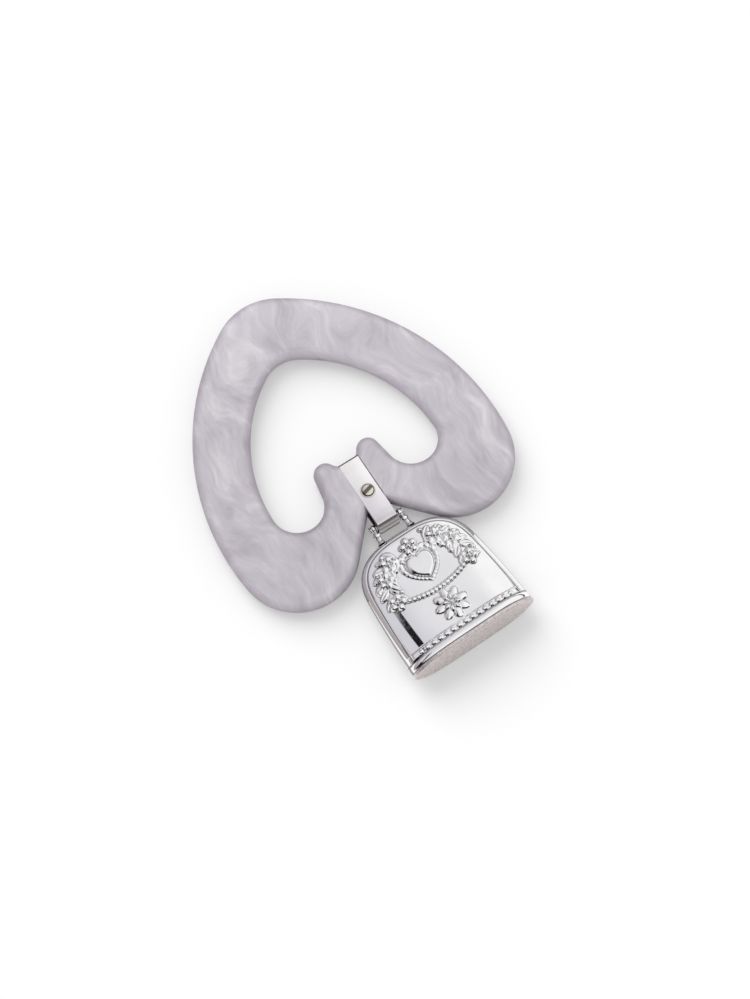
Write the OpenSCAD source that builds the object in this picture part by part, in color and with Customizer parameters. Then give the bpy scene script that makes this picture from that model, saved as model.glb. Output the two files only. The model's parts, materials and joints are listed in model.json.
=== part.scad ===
// Baby rattle: a heart-shaped teething ring with a flat silver bell hung from it by a folded strap.
// Millimetres, +Z up, lying flat: the ring's back face and the bell's lower edge are at z = 0.
// Heights along the heart are measured from the line through the centres of its two lobes.

/* [Heart ring] */
// Distance between the centres of the two lobes
lobe_gap = 38.2; // [37:0.1:44]
// Radius of each lobe
lobe_r = 13.1; // [12:0.1:14]
// Height of the centre of the point's arc above the lobe line
tip_rise = 37.7; // [34:0.1:44]
// Radius of the heart's point
tip_r = 13.4; // [11:0.1:16]
// Radius of the long outer sides
side_r = 52; // [44:0.5:70]
// Height above the lobe line where the two flanks of the cleft would meet
cleft_rise = 1.5; // [0.8:0.1:2.4]
// Radius at the bottom of the cleft
cleft_r = 0.8; // [0.4:0.1:1.5]
// Thickness of the ring
ring_t = 5.5; // [5:0.1:8]
// Width of the rounding along the ring's edges
ring_edge = 1.8; // [0.8:0.1:2.3]

/* [Hole in the ring] */
// Distance between the centres of the hole's two lobes
hole_lobe_gap = 28; // [26:0.1:30]
// Radius of the hole's lobes
hole_lobe_r = 5.65; // [4.5:0.05:6]
// Height of the hole's lobes above the lobe line
hole_lobe_rise = 7.95; // [6:0.05:9]
// Height of the centre of the hole's point above the lobe line
hole_tip_rise = 29; // [26:0.1:32]
// Radius of the hole's point
hole_tip_r = 7.6; // [5:0.1:9]
// Radius of the hole's long sides
hole_side_r = 32.6; // [26:0.1:45]
// Distance between the centres of the two horns beside the strap
horn_gap = 10.5; // [9.8:0.1:12]
// Height of the horns' centres above the lobe line
horn_rise = 10.7; // [9:0.1:11.5]
// Radius of the horns
horn_r = 2.5; // [2.4:0.05:2.8]
// Height of the bottom of the notch between the horns
notch_rise = 10.15; // [8.5:0.05:11]

/* [Strap and screw] */
// Width of the folded strap
strap_w = 4.8; // [4:0.1:5]
// Thickness of the strap
strap_t = 0.6; // [0.4:0.05:0.8]
// How far the strap's faces lie below the faces of the ring
strap_sink = 0.4; // [0.4:0.05:0.6]
// How far the strap's cut ends stand above the bottom of the notch
strap_lead = 0.25; // [0:0.05:0.6]
// Outer radius of the two bends of the strap
bend_r = 1.3; // [1:0.05:1.6]
// Height of the screw above the lobe line
screw_rise = 2.6; // [2:0.1:6]
// Diameter of the screw's shank
screw_d = 1.6; // [1.2:0.1:1.8]
// Diameter of the screw's head
screw_head_d = 3.3; // [2.8:0.1:3.8]
// Height of the screw's head at its rim
screw_head_h = 0.3; // [0.2:0.05:0.5]
// Height of the dome on the screw's head
screw_dome_h = 0.2; // [0.1:0.05:0.3]
// Width of the driver slot
slot_w = 0.7; // [0.4:0.05:0.9]
// Depth of the driver slot
slot_depth = 0.35; // [0.2:0.05:0.4]
// Turn of the driver slot
slot_turn = 15; // [0:5:175]
// Outer diameter of the threaded barrel
barrel_d = 2.6; // [2.3:0.1:3]
// Diameter of the barrel's flat head
barrel_head_d = 3.8; // [3.4:0.1:4.2]
// Height of the barrel's flat head
barrel_head_h = 0.35; // [0.2:0.05:0.4]

/* [Hinge] */
// Distance of the hinge pin below the lobe line
pin_drop = 4.5; // [4.4:0.1:5.5]
// Diameter of the hinge pin
pin_d = 1.4; // [1:0.1:1.6]
// Room between the pin and the inside of the strap's end
pin_play = 0.3; // [0.2:0.05:0.6]
// Diameter of the peened heads of the pin
peen_d = 1.9; // [1.8:0.05:2.1]
// Height of the peened heads
peen_h = 0.25; // [0.1:0.05:0.3]
// Thickness of a lug beside its eye
lug_t = 1.15; // [0.9:0.05:1.3]
// Diameter of the round eye of a lug
lug_eye_d = 2.2; // [2:0.1:2.4]
// Room between the strap's edge and a lug
lug_play = 0.35; // [0.25:0.05:0.5]
// How much thicker a lug is at its foot
lug_flare = 0.35; // [0:0.05:0.8]
// Width of a lug's foot, from the front to the back of the bell
foot_w = 2; // [1.6:0.1:2.2]

/* [Bell] */
// Distance from the hinge pin to the bell's crown
crown_drop = 3.7; // [3.6:0.1:4.5]
// Length of the two shells from the crown to the base plate
bell_len = 27.4; // [24:0.1:34]
// Width of the bell at its mouth
bell_base_w = 29.6; // [28:0.1:32]
// Width that the curved sides would have at the crown
bell_top_w = 24.5; // [22:0.1:25]
// Height of the arch over the shoulders
arch_h = 10.5; // [9:0.1:12]
// Thickness of the bell behind the crown
crown_t = 5; // [4.4:0.1:6]
// Length over which the crown rolls over to the seam
crown_roll = 2.6; // [2.2:0.1:3]
// Thickness of the bell at its mouth
bell_base_t = 9; // [8:0.1:11]
// Thickness of the shells' sheet
bell_wall = 0.6; // [0.4:0.05:0.8]
// Height of the raised band above the mouth
band_h = 3.4; // [2:0.1:5]
// How far the band stands out
band_proud = 0.25; // [0.1:0.05:0.4]
// Length of the slope above the band
band_slope = 0.5; // [0.3:0.05:1]
// Thickness of the base plate
plate_t = 0.8; // [0.5:0.05:1.2]
// How far the base plate stands out around the shells
plate_lip = 0.15; // [0.1:0.05:0.4]
// Swing of the bell to one side, as it lies
bell_yaw = 2; // [0:0.1:2]

/* [Pellets] */
// Diameter of the loose pellets
pellet_d = 3; // [2:0.1:3.2]
// Distance between neighbouring pellets across the bell
pellet_pitch = 3.6; // [3.5:0.1:4]
// Room between a pellet and the sheet that it lies on
pellet_play = 0.15; // [0.1:0.05:0.3]

/* [Hidden] */
$fn = 64;

// Colours
pearl = [0.80, 0.78, 0.81];
silver = [0.90, 0.90, 0.91];
plate_silver = [0.74, 0.72, 0.72];
shot = [0.62, 0.62, 0.64];

// Fits between pieces of one body, and how far a cutting solid passes a face
seat_gap = 0.05;
bore_gap = 0.05;
table_gap = 0.05;
cut = 1;

// Heights in the ring and the strap
mid_z = ring_t / 2;
strap_top_z = ring_t - strap_sink;
neck_top_z = strap_top_z - strap_t;
neck_t = neck_top_z - (ring_t - neck_top_z);
strap_end_y = -pin_drop - pin_d / 2 - pin_play - strap_t;
strap_lead_y = notch_rise + strap_lead;

// Stations along each half of the heart's outline and of its hole, from the point to the neck.
// Both have equally many, and a line between two stations of the same number stays in the ring
tip_steps = 12;
side_steps = 20;
lobe_steps = 24;
flank_steps = 16;
cleft_steps = 4;
hole_lobe_steps = 30;
hole_line_steps = 2;
horn_steps = 8;
notch_steps = 4;
// Points across each rounded edge
edge_steps = 8;

// Lugs on the hinge pin
lug_in_x = strap_w / 2 + lug_play;
lug_out_x = lug_in_x + lug_t;
// Half of the pin's length between its peened heads
pin_half_len = lug_out_x + seat_gap;
// Radius of the crown under the feet of the lugs
foot_r = crown_t ^ 2 / (4 * crown_roll);

// Rows and columns of the bell's sheet
arch_rows = 14;
wall_rows = 6;
band_rows = 5;
sheet_cols = 24;
plate_cols = 36;
// Powers of the bell's arch, of its curved sides and of its section: flat in the middle, round at the seam
arch_power = 3;
side_power = 1.7;
lens_power = 4;
seam_power = 2 / 3;
// Shares by which the inner face of the sheet is narrower and shorter than the outer face
inner_narrow = 1 - 2 * bell_wall / bell_base_w;
inner_short = 1 - bell_wall / bell_len;

// Pose of the bell: its lower back edge lies on the table
mouth_y = -crown_drop - bell_len;
plate_half_t = bell_base_t / 2 + plate_lip;
bell_pitch = atan2(plate_half_t, -mouth_y) - asin((mid_z - table_gap) / norm([mouth_y, plate_half_t]));

// The origin is in the middle of the whole outline, on the table
tip_y = tip_rise + tip_r;
base_y = -pin_drop + (mouth_y - plate_t) * cos(bell_pitch) - plate_half_t * sin(bell_pitch);
frame_y = -(tip_y + base_y) / 2;

// Distance of each pellet from the mouth, in order across the bell
pellet_reach = [8.4, 3.4, 11.9, 5.4, 9.9];

// Geometry of tangent circles
function angle_of(v) = atan2(v.y, v.x);
function unit(a) = [cos(a), sin(a)];
// Meeting point, left of the line from a to b, of circles about a and b
function circles_meet(a, ra, b, rb) =
    let (d = norm(b - a), u = (b - a) / d, t = (ra * ra - rb * rb + d * d) / (2 * d))
    a + t * u + sqrt(ra * ra - t * t) * [-u.y, u.x];
// A station holds its point and the direction into the ring, which is outward or inward of the arc
function arc(c, r, from, to, steps, inward) =
    [for (i = [0 : steps - 1]) let (a = from + (to - from) * i / steps)
        [c + r * unit(a), (inward ? -1 : 1) * unit(a)]];
function line(from, to, into, steps) =
    [for (i = [0 : steps - 1]) [from + (to - from) * i / steps, into]];

// Outer outline of the right half
tip_c = [0, tip_rise];
lobe_c = [lobe_gap / 2, 0];
side_c = circles_meet(lobe_c, side_r - lobe_r, tip_c, side_r - tip_r);
side_top_a = angle_of(tip_c - side_c);
side_low_a = angle_of(lobe_c - side_c);
cleft_p = [0, cleft_rise];
flank_a = angle_of(lobe_c - cleft_p) - asin(lobe_r / norm(lobe_c - cleft_p));
flank_top = cleft_p + cleft_r * tan(90 + flank_a) ^ -1 * unit(flank_a);
flank_low = lobe_c + lobe_r * unit(flank_a - 90);
cleft_c = [0, cleft_rise - cleft_r / sin(90 + flank_a)];
outer_half = concat(
    arc(tip_c, tip_r, 90, side_top_a, tip_steps, true),
    arc(side_c, side_r, side_top_a, side_low_a, side_steps, true),
    arc(lobe_c, lobe_r, side_low_a, flank_a - 90, lobe_steps, true),
    line(flank_low, flank_top, unit(flank_a + 90), flank_steps),
    arc(cleft_c, cleft_r, flank_a + 90, 90, cleft_steps, false),
    [[cleft_c + [0, cleft_r], [0, 1]]]
);

// Outline of the right half of the hole
hole_tip_c = [0, hole_tip_rise];
hole_lobe_c = [hole_lobe_gap / 2, hole_lobe_rise];
hole_side_c = circles_meet(hole_lobe_c, hole_side_r - hole_lobe_r, hole_tip_c, hole_side_r - hole_tip_r);
hole_top_a = angle_of(hole_tip_c - hole_side_c);
hole_low_a = angle_of(hole_lobe_c - hole_side_c);
horn_c = [horn_gap / 2, horn_rise];
horn_a = angle_of(horn_c - hole_lobe_c) + acos((hole_lobe_r + horn_r) / norm(horn_c - hole_lobe_c));
hole_line_from = hole_lobe_c + hole_lobe_r * unit(horn_a);
hole_line_to = horn_c - horn_r * unit(horn_a);
notch_k = notch_rise - horn_rise;
notch_r = (horn_c.x ^ 2 + notch_k ^ 2 - horn_r ^ 2) / (2 * (horn_r - notch_k));
notch_c = [0, notch_rise + notch_r];
notch_a = angle_of(notch_c - horn_c);
hole_half = concat(
    arc(hole_tip_c, hole_tip_r, 90, hole_top_a, tip_steps, false),
    arc(hole_side_c, hole_side_r, hole_top_a, hole_low_a, side_steps, false),
    arc(hole_lobe_c, hole_lobe_r, hole_low_a, horn_a - 360, hole_lobe_steps, false),
    line(hole_line_from, hole_line_to, unit(horn_a), hole_line_steps),
    arc(horn_c, horn_r, horn_a - 180, notch_a, horn_steps, true),
    arc(notch_c, notch_r, notch_a - 180, -90, notch_steps, false),
    [[[0, notch_rise], [0, -1]]]
);

// Both halves as one loop
function mirrored(s) = [[-s[0].x, s[0].y], [-s[1].x, s[1].y]];
function loop(half) = concat(half, [for (i = [len(half) - 2 : -1 : 1]) mirrored(half[i])]);
// Points of one rounded edge, from angle a0 at one face to a1 at the other
function edge_points(s, a0, a1) =
    [for (i = [0 : edge_steps])
        let (a = a0 + (a1 - a0) * i / edge_steps, p = s[0] + ring_edge * (1 - cos(a)) * s[1])
        [p.x, p.y, mid_z + mid_z * sin(a)]];

// Surface that joins closed rows of equal length into a closed band
module closed_band(rows) {
    n = len(rows);
    m = len(rows[0]);
    polyhedron(
        points = [for (row = rows) each row],
        faces = [for (i = [0 : n - 1], j = [0 : m - 1], h = [0, 1])
            let (k = (i + 1) % n, l = (j + 1) % m)
            let (a = i * m + j, b = i * m + l, c = k * m + l, d = k * m + j)
            h == 0 ? [a, b, c] : [a, c, d]]
    );
}

// Rounded heart with its hole, before the strap's recess and the screw's bore are cut
module ring_blank() {
    outer = loop(outer_half);
    hole = loop(hole_half);
    closed_band([for (i = [0 : len(outer) - 1])
        concat(edge_points(outer[i], 90, -90), edge_points(hole[i], -90, 90))]);
}

module teether_ring() color(pearl) translate([0, frame_y, 0]) difference() {
    ring_blank();
    translate([0, screw_rise, -cut]) cylinder(d = barrel_d + 2 * bore_gap, h = ring_t + 2 * cut);
    for (z = [neck_top_z, neck_top_z - neck_t - ring_t])
        translate([-strap_w / 2 - seat_gap, strap_end_y, z])
            cube([strap_w + 2 * seat_gap, strap_lead_y + horn_r - strap_end_y, ring_t]);
}

// Outline of the folded strap seen from its edge, grown outwards by the given amount
module strap_edge(grow) {
    r = bend_r - strap_t + grow;
    low = strap_end_y + strap_t - grow;
    half = neck_t / 2 + grow;
    translate([low + r, -half]) square([strap_lead_y - low - r, 2 * half]);
    translate([low, -half + r]) square([r, 2 * half - 2 * r]);
    for (side = [-1, 1]) translate([low + r, side * (half - r)]) circle(r);
}

module hanger_strap() color(silver) translate([0, frame_y, mid_z]) difference() {
    translate([-strap_w / 2, 0, 0]) rotate([90, 0, 90]) linear_extrude(strap_w) difference() {
        strap_edge(strap_t);
        strap_edge(0);
        translate([strap_lead_y - cut, -neck_t / 2]) square([2 * cut, neck_t]);
    }
    translate([0, screw_rise, 0]) cylinder(d = screw_d + 2 * bore_gap, h = ring_t);
    translate([0, screw_rise, -ring_t]) cylinder(d = barrel_d + 2 * bore_gap, h = ring_t);
}

// Slotted screw: domed head on the strap, shank in the barrel
module strap_screw() color(silver) translate([0, frame_y + screw_rise, 0]) difference() {
    union() {
        translate([0, 0, strap_top_z]) cylinder(d = screw_head_d, h = screw_head_h);
        translate([0, 0, strap_top_z + screw_head_h]) dome(screw_head_d / 2, screw_dome_h);
        translate([0, 0, mid_z]) cylinder(d = screw_d, h = strap_top_z - mid_z);
    }
    translate([0, 0, strap_top_z + screw_head_h + screw_dome_h - slot_depth])
        rotate(slot_turn) translate([-screw_head_d, -slot_w / 2, 0]) cube([2 * screw_head_d, slot_w, cut]);
}

// Shallow cap of a sphere, with its rim at z = 0
module dome(r, h) {
    ball_r = (r * r + h * h) / (2 * h);
    intersection() {
        translate([0, 0, h - ball_r]) sphere(ball_r);
        cylinder(r = r, h = h);
    }
}

// Threaded barrel: flat head under the strap, tube through the ring
module screw_barrel() color(silver) translate([0, frame_y + screw_rise, 0]) difference() {
    union() {
        translate([0, 0, strap_sink - barrel_head_h]) cylinder(d = barrel_head_d, h = barrel_head_h);
        translate([0, 0, strap_sink]) cylinder(d = barrel_d, h = neck_top_z - strap_sink - seat_gap);
    }
    translate([0, 0, mid_z - seat_gap]) cylinder(d = screw_d + 2 * bore_gap, h = ring_t);
}

// Places the hinge pin and what turns with it
module at_pin() translate([0, frame_y - pin_drop, mid_z]) rotate(bell_yaw) children();
// Places the bell, with its length towards -Y and its front upwards
module at_bell() at_pin() rotate([-bell_pitch, 0, 0]) children();

module hinge_pin() color(silver) at_pin() {
    rotate([0, 90, 0]) cylinder(d = pin_d, h = 2 * pin_half_len + peen_h, center = true);
    for (side = [-1, 1]) rotate([0, side * 90, 0]) translate([0, 0, pin_half_len]) dome(peen_d / 2, peen_h);
}

// Lug with a round eye on the pin and a foot on the bell's crown
module lug(side) color(silver) at_bell() difference() {
    intersection() {
        rotate([90, 0, 90]) linear_extrude(4 * lug_out_x, center = true) {
            circle(d = lug_eye_d);
            translate([-crown_drop - foot_r, -foot_w / 2]) square([crown_drop + foot_r, foot_w]);
        }
        linear_extrude(lug_eye_d + cut, center = true) polygon([
            [side * lug_in_x, lug_eye_d],
            [side * lug_out_x, lug_eye_d],
            [side * lug_out_x, -lug_eye_d / 2],
            [side * (lug_out_x + lug_flare), -crown_drop - foot_r],
            [side * lug_in_x, -crown_drop - foot_r]
        ]);
    }
    rotate([0, 90, 0]) cylinder(d = pin_d + 2 * bore_gap, h = 4 * lug_out_x, center = true);
    translate([0, -crown_drop - foot_r - foot_d(lug_in_x), 0]) rotate([0, 90, 0])
        cylinder(r = foot_r + seat_gap, h = 4 * lug_out_x, center = true);
}

module left_lug() lug(-1);
module right_lug() lug(1);

// Rise of the bell's arch at depth d below the crown, from 0 at the crown to 1 at the shoulders
function arch_share(d) = (1 - (1 - min(d / arch_h, 1)) ^ arch_power) ^ (1 / arch_power);
// Depth of the crown's outline at distance x from the middle
function foot_d(x) = arch_h * (1 - (1 - (2 * x / bell_top_w) ^ arch_power) ^ (1 / arch_power));
function band_share(d) = let (t = min(max((d - bell_len + band_h) / band_slope, 0), 1)) t * t * (3 - 2 * t);
// Half width and half thickness of the bell at depth d below the crown
function half_w(d) =
    (bell_base_w - (bell_base_w - bell_top_w) * (1 - d / bell_len) ^ side_power) / 2 * arch_share(d);
function half_t(d) =
    (crown_t + (bell_base_t - crown_t) * d / bell_len) / 2 * sqrt(1 - (1 - min(d / crown_roll, 1)) ^ 2)
    - band_proud * (1 - band_share(d)) * min(d / crown_roll, 1);
function lens(u) = max(1 - abs(u) ^ lens_power, 0) ^ seam_power;

// Depths of the rows of the sheet
row_depths = concat(
    [for (i = [1 : arch_rows]) arch_h * (i / arch_rows) ^ arch_power],
    [for (i = [1 : wall_rows]) arch_h + (bell_len - band_h - arch_h) * i / wall_rows],
    [for (i = [1 : band_rows]) bell_len - band_h + band_slope * i / band_rows],
    [bell_len]
);
// A point of the sheet's outer or inner face at share u across the bell
function outer_point(u, d) = [u * half_w(d), -crown_drop - d, half_t(d) * lens(u)];
function inner_point(u, d) =
    [u * half_w(d) * inner_narrow, -crown_drop - bell_wall - d * inner_short, inner_t(d) * lens(u)];
function inner_t(d) = max(half_t(d) - bell_wall, 0);
// Height of the sheet's inner face at distance x from the middle and the given depth below the crown
function inner_height(x, depth) =
    let (d = (depth - bell_wall) / inner_short) inner_t(d) * lens(x / (half_w(d) * inner_narrow));

// Half of the bell, from its seam at z = 0 upwards
module bell_half() {
    shares = [for (i = [0 : sheet_cols]) sin(90 * (2 * i / sheet_cols - 1))];
    m = sheet_cols + 1;
    n = len(row_depths);
    size = n * m + 1;
    crown = n * m;
    // Boundary of one face: down the right side, along the mouth and up the left side
    rim = concat(
        [crown], [for (i = [0 : n - 1]) i * m + sheet_cols],
        [for (j = [sheet_cols - 1 : -1 : 0]) (n - 1) * m + j], [for (i = [n - 2 : -1 : 0]) i * m]
    );
    skin = concat(
        [for (j = [0 : sheet_cols - 1]) [crown, j + 1, j]],
        [for (i = [0 : n - 2], j = [0 : sheet_cols - 1], h = [0, 1])
            let (a = i * m + j, b = a + 1, c = b + m, d = a + m)
            h == 0 ? [a, b, c] : [a, c, d]]
    );
    polyhedron(
        points = concat(
            [for (d = row_depths, u = shares) outer_point(u, d)], [outer_point(0, 0)],
            [for (d = row_depths, u = shares) inner_point(u, d)], [inner_point(0, 0)]
        ),
        faces = concat(
            skin,
            [for (f = skin) [f[2] + size, f[1] + size, f[0] + size]],
            [for (i = [0 : len(rim) - 1], h = [0, 1])
                let (a = rim[i], b = rim[(i + 1) % len(rim)])
                h == 0 ? [a, a + size, b + size] : [a, b + size, b]]
        )
    );
}

module bell_front() color(silver) at_bell() bell_half();
module bell_back() color(silver) at_bell() mirror([0, 0, 1]) bell_half();

// Lens-shaped plate that closes the mouth
module bell_base() color(plate_silver) at_bell() translate([0, mouth_y, 0]) rotate([90, 0, 0])
    linear_extrude(plate_t) polygon([for (i = [0 : 2 * plate_cols - 1])
        let (u = cos(180 * i / plate_cols), side = i < plate_cols ? 1 : -1)
        [u * (bell_base_w / 2 + plate_lip), side * plate_half_t * lens(u)]]);

// Loose pellet lying on the back shell
module pellet(i) {
    x = (i - 3) * pellet_pitch;
    r = pellet_d / 2;
    depth = bell_len - pellet_reach[i - 1];
    slope = (inner_height(x + r, depth) - inner_height(x - r, depth)) / pellet_d;
    rise = (r + pellet_play) * norm([1, slope]);
    color(shot) at_bell() translate([x, -crown_drop - depth, rise - inner_height(x, depth)]) sphere(r);
}

teether_ring();
hanger_strap();
strap_screw();
screw_barrel();
hinge_pin();
left_lug();
right_lug();
bell_front();
bell_back();
bell_base();
for (i = [1 : 5]) pellet(i);
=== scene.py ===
"""Looks of the baby rattle: pearly heart ring, folded strap with its screw, hinge and embossed bell.

Sizes are in millimetres and repeat those of the part's source, so each piece lies where its CAD node lies.
The strap's fold and the lugs are drawn a little fuller than their solids, for the likeness.
"""

import json
import math

import bmesh
import bpy
import numpy as np
from mathutils import Matrix, Vector


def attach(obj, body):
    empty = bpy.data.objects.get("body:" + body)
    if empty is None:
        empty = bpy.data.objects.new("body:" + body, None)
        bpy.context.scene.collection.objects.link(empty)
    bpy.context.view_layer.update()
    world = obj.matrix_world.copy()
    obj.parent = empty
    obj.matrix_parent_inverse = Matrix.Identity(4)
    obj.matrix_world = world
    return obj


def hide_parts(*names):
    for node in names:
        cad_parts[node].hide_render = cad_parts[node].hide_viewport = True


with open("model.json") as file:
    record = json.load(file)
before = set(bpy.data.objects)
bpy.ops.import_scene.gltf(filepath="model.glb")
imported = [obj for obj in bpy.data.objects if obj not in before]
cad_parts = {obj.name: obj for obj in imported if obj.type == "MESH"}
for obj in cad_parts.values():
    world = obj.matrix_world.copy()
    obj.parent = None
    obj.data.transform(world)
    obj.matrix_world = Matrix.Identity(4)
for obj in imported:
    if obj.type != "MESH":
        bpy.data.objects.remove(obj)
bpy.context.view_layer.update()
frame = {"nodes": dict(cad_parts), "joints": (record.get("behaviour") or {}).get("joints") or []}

MM = 0.001

# Heart ring
LOBE_GAP, LOBE_R = 38.2, 13.1
TIP_RISE, TIP_R = 37.7, 13.4
SIDE_R = 52.0
CLEFT_RISE, CLEFT_R = 1.5, 0.8
RING_T, RING_EDGE = 5.5, 1.8
FLAT_MARGIN = 0.2
HOLE_LOBE_GAP, HOLE_LOBE_R, HOLE_LOBE_RISE = 28.0, 5.65, 7.95
HOLE_TIP_RISE, HOLE_TIP_R = 29.0, 7.6
HOLE_SIDE_R = 32.6
HORN_GAP, HORN_RISE, HORN_R = 10.5, 10.7, 2.5
NOTCH_RISE = 10.15
MID_Z = RING_T / 2

# Strap, screw and barrel
STRAP_W, STRAP_T, STRAP_SINK, STRAP_LEAD = 4.8, 0.6, 0.4, 0.25
STRAP_ROUND, STRAP_EASE = 0.12, 0.2
# Share of its thickness that the strap loses at its rounded ends
STRAP_END_THINNING = 0.8
# The fold is drawn rounder above, and a little shorter, than the plain fold of the part's source
TOP_BEND_R, LOW_BEND_R, FOLD_SHORTER = 1.9, 1.3, 0.1
SCREW_RISE, SCREW_HEAD_R, SCREW_HEAD_H, SCREW_DOME_H = 2.6, 1.65, 0.3, 0.2
SCREW_DOME_R, SCREW_DOME_POWER, SCREW_RIM_H, SCREW_RIM_EASE = 1.34, 0.8, 0.12, 0.1
# The groove round the screw's dome cuts a little into the dome and into the rim
GROOVE_IN_R, GROOVE_OUT_R, GROOVE_FLOOR = SCREW_DOME_R - 0.2, SCREW_DOME_R + 0.06, 0.02
SLOT_W, SLOT_DEPTH, SLOT_TURN = 0.7, 0.36, math.radians(15)
BARREL_HEAD_R, BARREL_HEAD_H, BARREL_EASE = 1.9, 0.35, 0.14
BARREL_GROOVE_R, BARREL_GROOVE_DEPTH = (0.5, 0.6, 0.8, 0.9), 0.09
SEAT_GAP = 0.05
STRAP_TOP_Z = RING_T - STRAP_SINK
STRAP_LOW_Z = STRAP_SINK

# Hinge
PIN_DROP, PIN_D, PIN_PLAY = 4.5, 1.4, 0.3
PEEN_D, PEEN_H, PEEN_FOOT_INSET, PEEN_EDGE_H, PEEN_FLAT_R = 1.9, 0.25, 0.06, 0.04, 0.35
LUG_T, LUG_EYE_D, LUG_PLAY, LUG_FLARE, LUG_SHIFT = 1.15, 2.2, 0.35, 0.35, 0.05
# Form of a drawn lug along Y from the pin; pairs are sizes across it and through it
KNUCKLE_LEN, KNUCKLE_HALVES = 0.9, (0.82, LUG_EYE_D / 2)
COLLAR_Y, COLLAR_LENS, COLLAR_HALVES = -1.6, (0.6, 0.55), (0.9, 0.9)
WAIST_HALVES = (0.64, 1.2 * 0.64)
FOOT_RISE, FOOT_SPREADS = 0.6, (0.34, 0.4)
LEAST_HALF = 0.01
LUG_CREASES, CREASE_W, CREASE_TARNISH = (-1.0, -2.2), 0.16, 0.65
STRAP_END_Y = -PIN_DROP - PIN_D / 2 - PIN_PLAY - STRAP_T
LUG_IN_X = STRAP_W / 2 + LUG_PLAY
LUG_OUT_X = LUG_IN_X + LUG_T

# Bell
CROWN_DROP, BELL_LEN = 3.7, 27.4
BELL_BASE_W, BELL_TOP_W = 29.6, 24.5
ARCH_H, ARCH_POWER, SIDE_POWER = 10.5, 3.0, 1.7
CROWN_T, CROWN_ROLL, BELL_BASE_T = 5.0, 2.6, 9.0
LENS_POWER, SEAM_POWER = 4.0, 2 / 3
BELL_WALL = 0.6
BAND_H, BAND_PROUD, BAND_SLOPE = 3.4, 0.25, 0.5
PLATE_T, PLATE_LIP, PLATE_EASE = 0.8, 0.15, 0.2
# Insets and depths of the shallow border on the plate's outer face
PLATE_BORDER = ((0.5, 0.0), (0.62, 0.08), (3.0, 0.05))
TABLE_GAP = 0.05
MOUTH_Y = -CROWN_DROP - BELL_LEN
PLATE_HALF_T = BELL_BASE_T / 2 + PLATE_LIP

# Trim of the shells, at distances from the outline or, for the lip and its cove, from the mouth
SEAM_HALF_W, SEAM_DEPTH = 0.18, 0.12
PANEL_LINE, PANEL_HALF_W, PANEL_DEPTH = 1.35, 0.24, 0.14
LIP_MIDDLE, LIP_HALF_W, LIP_SHARE, LIP_FADE = 0.8, 0.78, 1.3, 0.6
COVE_START, COVE_END, COVE_SHARE = 1.6, 2.0, 0.7
FRONT_LIP_H, BACK_LIP_H = 0.32, 0.1

# Attribute that holds the share of tarnish and painted shade at each point of a silver piece
RECESS = "recess"
# Tarnish of the shells, and painted shade along the back shell's outline, as shares from 0 to 1, and the
# distances between which they fade
RIM_TARNISH, SEAM_FADE_END, MOUTH_FADE = 0.85, 0.45, (0.08, 0.22)
COVE_MIDDLE, LINE_FADE = 1.74, 0.15
HOLLOW_START, HOLLOW_GAIN, HOLLOW_TARNISH, HOLLOW_FADE = 1.5, 0.07, 0.75, (1.0, 2.0)
# Painted shade along the back shell's outline, and the distances between which it fades
BACK_SHADE, BACK_SHADE_FADE = 0.7, (0.5, 1.2)

# Ornament of the bell's front, with places across the bell and below the top of its crown
RELIEF_FADE, CROWN_FADE = (1.9, 2.5), 0.3
# Power that shapes its flanks: 0.5 is half-round, 1 is a paraboloid
PUFF = 0.65
LEAF_LEN, LEAF_HALF_W, LEAF_H, LEAF_LEAN, LEAF_POWER = 3.2, 0.92, 0.62, 0.9, 0.8
VEIN_SHARE, VEIN_W = 0.45, 0.18
BERRY_R, BERRY_H, BERRY_REACH = 0.58, 0.66, 2.0
# Shares of a blossom's radius, and the share of its height to which its button rises
BUTTON_R, PETAL_AT, PETAL_LEN, PETAL_W, BUTTON_RISE = 0.27, 0.58, 0.42, 0.65, 1.25
BLOSSOM_PETALS, BLOSSOM_H, BLOSSOM_AT, BLOSSOM_R = 5, 0.85, (0, 4.4), 2.2
SPRAY_HALF_W, SPRAY_H, SPRAY_FOOT, SPRAY_POWER = 8.9, 9.0, 13.4, 2 / 2.8
# Shares of the way along a spray for its leaves, and for its blossoms with their radii
SPRAY_LEAVES = np.linspace(0.18, 0.95, 7)
SPRAY_BLOSSOMS = ((0.36, 2.1), (0.68, 2.0), (1.0, 2.1))
# Turn of the blossoms, in radians, over the whole way along a spray
BLOSSOM_TWIST = 4
HEART_AT, HEART_SIZE, HEART_H, HEART_FACE, HEART_STEEPNESS = (0, 9.9), 3.6, 0.75, 0.8, 2.4
# The heart's border: its place and half width as shares of the outline, and its height
HEART_BORDER, HEART_BEADS, HEART_BEAD_DIP = (0.97, 0.13, 0.42), 22, 0.45
ROPE_BEADS, ROPE_HALF_W, ROPE_LOW, ROPE_SAG = 17, 7.7, 15.7, 1.6
ROPE_BEAD_R, ROPE_BEAD_SWELL, ROPE_BEAD_H = 0.56, 0.1, 0.62
# Radii and heights of the rosette's two rings of petals
ROSETTE_AT, ROSETTE_PETALS, ROSETTE_WIDE, ROSETTE_TALL = (0, 20.0), 8, (3.9, 0.6), (2.3, 1.0)
BAND_BEADS, BAND_BEAD_REACH, BAND_BEAD_LIFT = 15, 11.2, 0.65
BAND_BEAD_SIZE, BAND_BEAD_H = (0.55, 0.45), 0.34

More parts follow.
